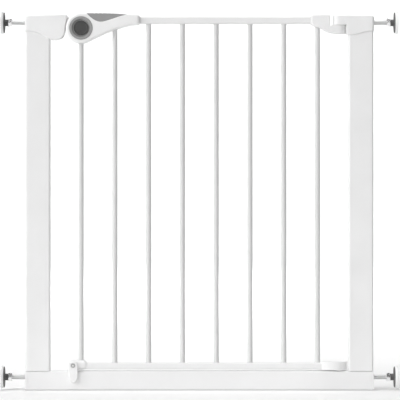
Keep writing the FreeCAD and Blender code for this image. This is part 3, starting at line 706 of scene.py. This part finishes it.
def hinge_housing():
    """The right housing: caps the post and reaches over the knuckle with a round-ended arm."""
    arm = HINGE.x - HINGE_LOW.x
    out = HINGE_HIGH.x - HINGE.x
    under = KNUCKLE_HIGH.z + 0.3 - HINGE_HIGH.z
    loop = outline((HINGE.x, HINGE_HIGH.z), (out, -32), ("rim", 2.6, 2.2),
                   ("curve", (60.5, -32.1), (50.7, -33.3), (40.8, -36.4), (31, -38.9), (21, -39.2),
                    (16, -38.4)),
                   ("arc", (14.1, -37.3), (13.3, -35.2)), ("rim", 1.8, 1.6), ("line", (13.3, under)),
                   ("line", (-arm, under)), ("rim", 12.0, 13.0), ("line", (-arm, 0)), ("rim", 2.6, 2.2),
                   ("line", (63.2, -1.4)), ("rim", 5.5, 5.0), ("arc", (66.4, -2.6), (out, -5.6)),
                   ("line", (out, -32)))

    def cutters():
        return housing_cutters(1, HINGE_LOW, HINGE_HIGH, HINGE.x + 17, HINGE_HIGH.x - 2.8)

    housing_covers("hinge", loop, -HINGE_LOW.y, cutters, 1)


# --- leaf fittings ----------------------------------------------------------------------------
def both_faces(name, loops, half, **more):
    """A slab with the same rounded face at the front and the rear."""
    mesh = bmesh.new()
    for side in (-1, 1):
        plate(mesh, loops, half, side, cap=False, **more)
    return make(name, mesh)


def hinge_bracket():
    """Joins the top rail to the knuckle under the hinge arm."""
    low, high = low_high("upper_hinge_bracket")
    r, tall = high.x - HINGE.x, KNUCKLE_HIGH.z - KNUCKLE_LOW.z
    loop = outline((HINGE.x, KNUCKLE_LOW.z), (-55, 17.5), ("rim", 3.0, 2.4),
                   ("curve", (-46, 13.7), (-36.8, 10.1), (-22.1, 3.1), (-12, 0.7), (0, 0)),
                   ("rim", 1.0, 0.8), ("line", (r, 0)), ("rim", 11.9, 11.2), ("line", (r, tall)),
                   ("rim", 1.0, 0.8), ("line", (-18.9, tall)),
                   ("rim", 2.2, 1.8), ("line", (-18.9, 34.3)),
                   ("arc", (-19.8, 36.4), (-21.9, 37.3)), ("line", (-52, 37.3)),
                   ("arc", (-54.1, 36.4), (-55, 34.3)), ("line", (-55, 17.5)))
    crown, gap = 0.1, 0.05
    piece = both_faces("hinge_bracket", [loop], high.y - crown, crown=crown)
    carve(piece, [drill((HINGE.x, 0, HINGE.z), UP, BUSH_R, -tall, tall / 2 + 0.1),
                  block((low.x - 5, RAIL_HIGH.x + gap), (RAIL_LOW.y - gap, RAIL_HIGH.y + gap),
                        (RAIL_LOW.z - gap, RAIL_HIGH.z + gap)),
                  bar_hole(BARS[-1], 5.3, RAIL_LOW.z - 20, RAIL_LOW.z + 1)])
    place(piece, "white_plastic", "leaf", "upper_hinge_bracket")


def hinge_sleeve():
    """The oval shoe that turns on the lower pin, with softly rounded edges."""
    low, high = low_high("lower_hinge_sleeve")
    middle, a, b = (low + high) / 2, (high.x - low.x) / 2, (high.y - low.y) / 2
    soft, steps = 1.6, 6
    rings = []
    for k in range(steps + 1):
        turn = math.radians(90) * k / steps
        rings.append((soft * (1 - math.sin(turn)), low.z + soft * (1 - math.cos(turn))))
    rings += [(inset, low.z + high.z - z) for inset, z in reversed(rings)]
    mesh = bmesh.new()
    loft(mesh, [[(middle.x + (a - inset) * math.cos(t), (b - inset) * math.sin(t), z)
                 for t in (2 * math.pi * k / 96 for k in range(96))] for inset, z in rings])
    piece = make("hinge_sleeve", mesh)
    top = low_high("lower_hinge_bush")[1].z
    carve(piece, [drill((HINGE.x, 0, 0), UP, BUSH_R, low.z - 1, top),
                  bar_hole(BARS[-1], 5.1, LOW_RAIL_HIGH.z, high.z + 1)])
    place(piece, "white_plastic", "leaf", "lower_hinge_sleeve")


def latch_foot():
    """The barrel-shaped shoe on the leaf's free lower corner."""
    low, high = low_high("latch_foot")
    r = (high.z - low.z) / 2
    wide = high.x - low.x
    loop = outline((low.x, low.z), (r, 0), ("rim", 8.0, 7.6), ("line", (wide - r, 0)),
                   ("arc", (wide, r), (wide - r, 2 * r)), ("line", (r, 2 * r)), ("arc", (0, r), (r, 0)))
    crown = 0.1
    piece = both_faces("latch_shoe", [loop], high.y - crown, crown=crown, spacing=3.0)
    pin = between_corners("stopper_pin")
    carve(piece, [bar_hole(BARS[0], 5.1, LOW_RAIL_HIGH.z, high.z + 1),
                  drill((pin.x, 0, pin.z), REARWARD, 2.5, -20, -2)])
    place(piece, "white_plastic", "leaf", "latch_foot")


def stopper():
    """The tongue in front of the crossbar, and the pin that it turns on."""
    low, high = low_high("stopper_flap")
    pin_low, pin_high = low_high("stopper_pin")
    pin = (pin_low + pin_high) / 2
    r = (high.x - low.x) / 2
    loop = outline((pin.x, pin.z), (r, 0), ("rim", 2.6, 2.0), ("line", (r, -23.4)),
                   ("curve", (7.7, -28.9), (3.7, -32.7), (-0.9, -33.3), (-4.7, -30.1), (-7.9, -23.7),
                    (-r, -15.4)), ("line", (-r, 0)), ("arc", (0, r), (r, 0)), every=0.9)
    hole, crown = ring_loop((pin.x, pin.z), 4.4, (0.6, 0.5), 48), 0.2
    mesh = bmesh.new()
    plate(mesh, [loop, hole], -low.y - crown, -1, back=-high.y, crown=crown, spacing=2.5)
    piece = make("stopper_tongue", mesh)
    weight_normals(piece)
    place(piece, "white_plastic", "stopper", "stopper_flap")
    head, shank = -pin_low.y, -high.y
    shank_r, collar_r, head_r = 2.5, 3.9, 2.3
    mesh = bmesh.new()
    profile = rounded([(2.0, 0, 0), (2.0, shank_r, 0), (shank + 0.3, shank_r, 0),
                       (shank + 0.3, collar_r, 0.2), (shank + 0.9, collar_r, 0.2),
                       (shank + 0.9, head_r, 0.2), (head, head_r, 0.9), (head + 0.1, 0, 0)])
    lathe(mesh, profile, (pin.x, 0, pin.z), FORWARD, 48)
    place(make("stopper_rivet", mesh, 40), "natural_nylon", "leaf", "stopper_pin")


def bars():
    """Round bars with a small weld fillet where they meet a rail in the open."""
    hidden_low, hidden_high = (BARS[0], BARS[-1]), (BARS[0], BARS[1], BARS[-1])
    wall = 1.1
    plain = [(0.0, 0.0)]
    weld = [(0.0, 1.1), (0.25, 0.72), (0.6, 0.4), (1.1, 0.15), (1.8, 0.0)]
    for name in BARS:
        low, high = low_high(name)
        middle, r = (low + high) / 2, (high.x - low.x) / 2
        at_low = plain if name in hidden_low else weld
        at_high = plain if name in hidden_high else weld
        profile = [(low.z, r - wall)]
        profile += [(low.z + a, r + b) for a, b in at_low]
        profile += [(high.z - a, r + b) for a, b in reversed(at_high)]
        profile += [(high.z, r - wall)]
        mesh = bmesh.new()
        lathe(mesh, profile, (middle.x, 0, 0), UP, 64)
        # The bars take the darker copy of the white coat: painted shade.
        place(make(name + "_welded", mesh, 50), "white_powder_coat", "leaf", name, finish=BAR_COAT_PAINTED_SHADE)


def coil(node, along, wire_r, turns):
    """A coil spring in the leaf."""
    low, high = low_high(node)
    middle, across = (low + high) / 2, 2 if along == 0 else 0
    mean_r = (high[across] - low[across]) / 2 - wire_r
    way, up = Vector([along == axis for axis in range(3)]), Vector(UP)
    side = up.cross(way)
    around, about_wire, start = 28, 10, low[along] + wire_r
    step = (high[along] - low[along] - 2 * wire_r) / (turns * around)
    rings = []
    for k in range(turns * around + 1):
        turn = 2 * math.pi * k / around
        out = side * math.cos(turn) + up * math.sin(turn)
        at = middle.copy()
        at[along] = start + k * step
        rings.append([at + out * (mean_r + wire_r * math.cos(t)) + way * (wire_r * math.sin(t))
                      for t in (2 * math.pi * n / about_wire for n in range(about_wire))])
    mesh = bmesh.new()
    loft(mesh, rings)
    piece = make(node + "_coil", mesh, 60)
    piece.data.materials.append(MATERIALS["spring_steel"])
    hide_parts(node)
    near, far = middle.copy(), middle.copy()
    near[along], far[along] = low[along], high[along]
    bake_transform(piece)


# --- spindles ---------------------------------------------------------------------------------
PITCH = 1.5


def threaded_rod(place_name):
    """A rod with a real screw thread: rows of points that follow the helix."""
    low, high = low_high("spindle_rod_" + place_name)
    middle, r = (low + high) / 2, (high.z - low.z) / 2
    around, root, tip_gap = 36, r - 0.85, 0.3
    thread = [(0.0, r), (0.14, r), (0.5, root), (0.64, root)]
    turns = int((high.x - low.x - 2 * tip_gap) / PITCH) - 1
    mesh = bmesh.new()
    columns = []
    for k in range(around):
        turn = 2 * math.pi * k / around
        columns.append([mesh.verts.new((low.x + tip_gap + (n + part + k / around) * PITCH,
                                        radius * math.cos(turn), middle.z + radius * math.sin(turn)))
                        for n in range(turns) for part, radius in thread])
    rows = len(columns[0])
    per = len(thread)
    for k in range(around):
        other, shift = (columns[k + 1], 0) if k < around - 1 else (columns[0], per)
        for row in range(rows - 1 - shift):
            mesh.faces.new((columns[k][row], other[row + shift],
                            other[row + 1 + shift], columns[k][row + 1]))
    first = [c[0] for c in columns] + [columns[0][n] for n in range(per, 0, -1)]
    last = [c[-1] for c in columns] + [columns[-1][n] for n in range(rows - 2, rows - 2 - per, -1)]
    for border, x in ((first, low.x), (last, high.x)):
        tip = mesh.verts.new((x, 0, middle.z))
        for a, b in zip(border, border[1:] + border[:1]):
            mesh.faces.new((a, b, tip))
    place(make("threaded_rod_" + place_name, mesh, 25), "zinc_steel", "spindle_" + place_name,
          "spindle_rod_" + place_name)


def chamfered_nut(place_name):
    """A hexagon nut whose corners are turned down at both faces."""
    low, high = low_high("hex_nut_" + place_name)
    middle, half = (low + high) / 2, (high.x - low.x) / 2
    apothem = min(high.y - low.y, high.z - low.z) / 2
    face_r, bore_r, slope, count = apothem * 0.94, 4.9, math.tan(math.radians(30)), 120
    names = ("bore", "face", "corner")
    rings = {name: [] for name in names}
    for k in range(count):
        turn = 2 * math.pi * k / count
        off = (math.degrees(turn) + 30) % 60 - 30
        r = min(apothem / math.cos(math.radians(off)), apothem * 1.15)
        way = Vector((0, math.sin(turn), math.cos(turn)))
        rings["bore"].append((way * bore_r, 0.0))
        rings["face"].append((way * face_r, 0.0))
        rings["corner"].append((way * r, (r - face_r) * slope))
    mesh = bmesh.new()
    order = [[middle + out + Vector((drop - half, 0, 0)) for out, drop in rings[name]]
             for name in names]
    order += [[middle + out + Vector((half - drop, 0, 0)) for out, drop in rings[name]]
              for name in reversed(names)]
    loft(mesh, order + [order[0]], caps=False)
    place(make("nut_" + place_name, mesh, 25), "chrome_plate", "spindle_" + place_name,
          "hex_nut_" + place_name)


def wall_foot(place_name, side):
    """The thin rubber flange with its neck, and the white cup that it seats in."""
    low, high = low_high("rubber_foot_" + place_name)
    cup_low, cup_high = low_high("wall_cup_" + place_name)
    z = (low.z + high.z) / 2
    near, seat = sorted((abs(low.x), abs(high.x)))
    wall = max(abs(cup_low.x), abs(cup_high.x))
    flange_r, cup_r = (high.z - low.z) / 2, (cup_high.z - cup_low.z) / 2
    bore_r, neck_r = 5.1, 6.5
    rubber_profile = rounded([(near, bore_r, 0), (near, neck_r, 0.5), (seat - 2.0, neck_r, 0.5),
                              (seat - 1.5, 12.0, 1.0), (seat - 1.2, flange_r, 0.4), (seat, flange_r, 0.3),
                              (seat, 2.0, 0), (seat - 1.0, 2.0, 0), (seat - 1.0, bore_r, 0)])
    mesh = bmesh.new()
    lathe(mesh, rubber_profile, (0, 0, z), (side, 0, 0), 72)
    place(make("rubber_pad_" + place_name, mesh, 40), "dark_rubber", "foot_" + place_name,
          "rubber_foot_" + place_name)
    front, floor_at = seat + 0.02, wall - 1.6
    cup_profile = rounded([(front, 0, 0), (front, cup_r - 2.4, 0.8), (wall - 2.6, cup_r, 2.4),
                           (wall, cup_r, 0.5), (wall, cup_r - 2.2, 0.3), (floor_at, cup_r - 2.8, 0.4),
                           (floor_at, 6.0, 0.3), (wall, 5.4, 0.3), (wall, 2.2, 0.2),
                           (seat + 1.6, 2.0, 0.2), (seat + 1.6, 0, 0)])
    mesh = bmesh.new()
    lathe(mesh, cup_profile, (0, 0, z), (side, 0, 0), 72)
    place(make("cup_" + place_name, mesh, 40), "white_cup_plastic", "foot_" + place_name,
          "wall_cup_" + place_name)


handle_shells()
dial_bezel()
push_button()
keeper_housing()
hinge_housing()
hinge_bracket()
hinge_sleeve()
latch_foot()
stopper()
bars()
coil("latch_spring", 0, 0.5, 8)
coil("button_spring", 1, 0.35, 6)
for spindle in SPINDLES:
    threaded_rod(spindle)
    chamfered_nut(spindle)
    wall_foot(spindle, 1 if spindle.endswith("right") else -1)


# --- stage ---------------------------------------------------------------------------
VIEW_WIDTH = 786.4 * MM          # what the picture's width spans at the gate
CAMERA_BACK = 4.5
VIEW_MIDDLE = Vector((1.3 * MM, 0, 373.3 * MM))
SENSOR = 36.0


def camera():
    """A long lens square to the gate's front."""
    data = bpy.data.cameras.new("camera")
    data.sensor_width = SENSOR
    data.lens = SENSOR * CAMERA_BACK / VIEW_WIDTH
    data.clip_end = 50
    made = bpy.data.objects.new("camera", data)
    made.location = VIEW_MIDDLE + Vector((0, -CAMERA_BACK, 0))
    made.rotation_euler = (math.radians(90), 0, 0)
    bpy.context.collection.objects.link(made)
    bpy.context.scene.camera = made


def area_light(name, at, aim, size, watts, spread=180):
    """A soft box at a place, aimed at a point."""
    data = bpy.data.lights.new(name, "AREA")
    data.shape, data.size, data.size_y, data.energy = "RECTANGLE", size[0], size[1], watts
    data.spread = math.radians(spread)
    made = bpy.data.objects.new(name, data)
    made.location = at
    made.rotation_euler = (Vector(aim) - Vector(at)).to_track_quat("-Z", "Y").to_euler()
    bpy.context.collection.objects.link(made)


def studio():
    """Large lights from the left and front, and washes that keep floor and backdrop white."""
    area_light("key", (-8.6, -9.1, 9.2), (0, 0, 0.4), (5.0, 5.0), 920)
    area_light("left", (-9.0, -5.0, 5.6), (0, 0, 0.4), (3.0, 3.0), 120)
    area_light("side", (-7.6, -2.4, 2.0), (0, 0, 0.4), (2.0, 2.0), 140)
    area_light("front", (1.6, -8.0, 1.6), (0, 0, 0.6), (4.0, 3.0), 62)
    area_light("floor_wash", (0, 0.2, 5.0), (0, 0.2, 0), (2.4, 2.4), 22, 70)
    area_light("rear_floor_wash", (0, 4.4, 5.0), (0, 4.8, 0), (5.0, 3.0), 150, 90)
    area_light("backdrop_wash", (0, 6.2, 4.4), (0, 10.4, 0.8), (5.0, 2.0), 120, 140)
    world = bpy.data.worlds.new("studio")
    world.use_nodes = True
    world.node_tree.nodes["Background"].inputs["Color"].default_value = (1, 1, 1, 1)
    world.node_tree.nodes["Background"].inputs["Strength"].default_value = 0.13
    bpy.context.scene.world = world
    bpy.context.scene.view_settings.view_transform = "Standard"


def floor():
    """A wide pale floor that curves up into a low wall all round, out of the way of every view."""
    flat, bend, height, segments = 9.6, 1.0, 3.4, 96
    steps, below = 12, 0.0002
    line = [(0.6, 0), (2.0, 0), (5.0, 0), (flat, 0)]
    for step in range(1, steps + 1):
        turn = math.radians(90) * step / steps
        line.append((flat + bend * math.sin(turn), bend * (1 - math.cos(turn))))
    line.append((flat + bend, height))
    turns = [2 * math.pi * k / segments for k in range(segments)]
    mesh = bmesh.new()
    rings = [[mesh.verts.new((r * math.cos(t), r * math.sin(t), z - below)) for t in turns]
             for r, z in line]
    mesh.faces.new(rings[0])
    for inner, outer in zip(rings, rings[1:]):
        for k in range(segments):
            n = (k + 1) % segments
            mesh.faces.new((inner[k], outer[k], outer[n], inner[n]))
    data = bpy.data.meshes.new("floor")
    mesh.to_mesh(data)
    mesh.free()
    for face in data.polygons:
        face.use_smooth = True
    made = bpy.data.objects.new("floor", data)
    s = Shader("pale_floor")
    s.feed("Base Color", s.ramp(s.noise(3, 2), grey(0.93), grey(0.95)))
    s.feed("Roughness", s.between(s.noise(6, 2), 0.7, 0.8))
    data.materials.append(s.material)
    bpy.context.collection.objects.link(made)


camera()
studio()
floor()
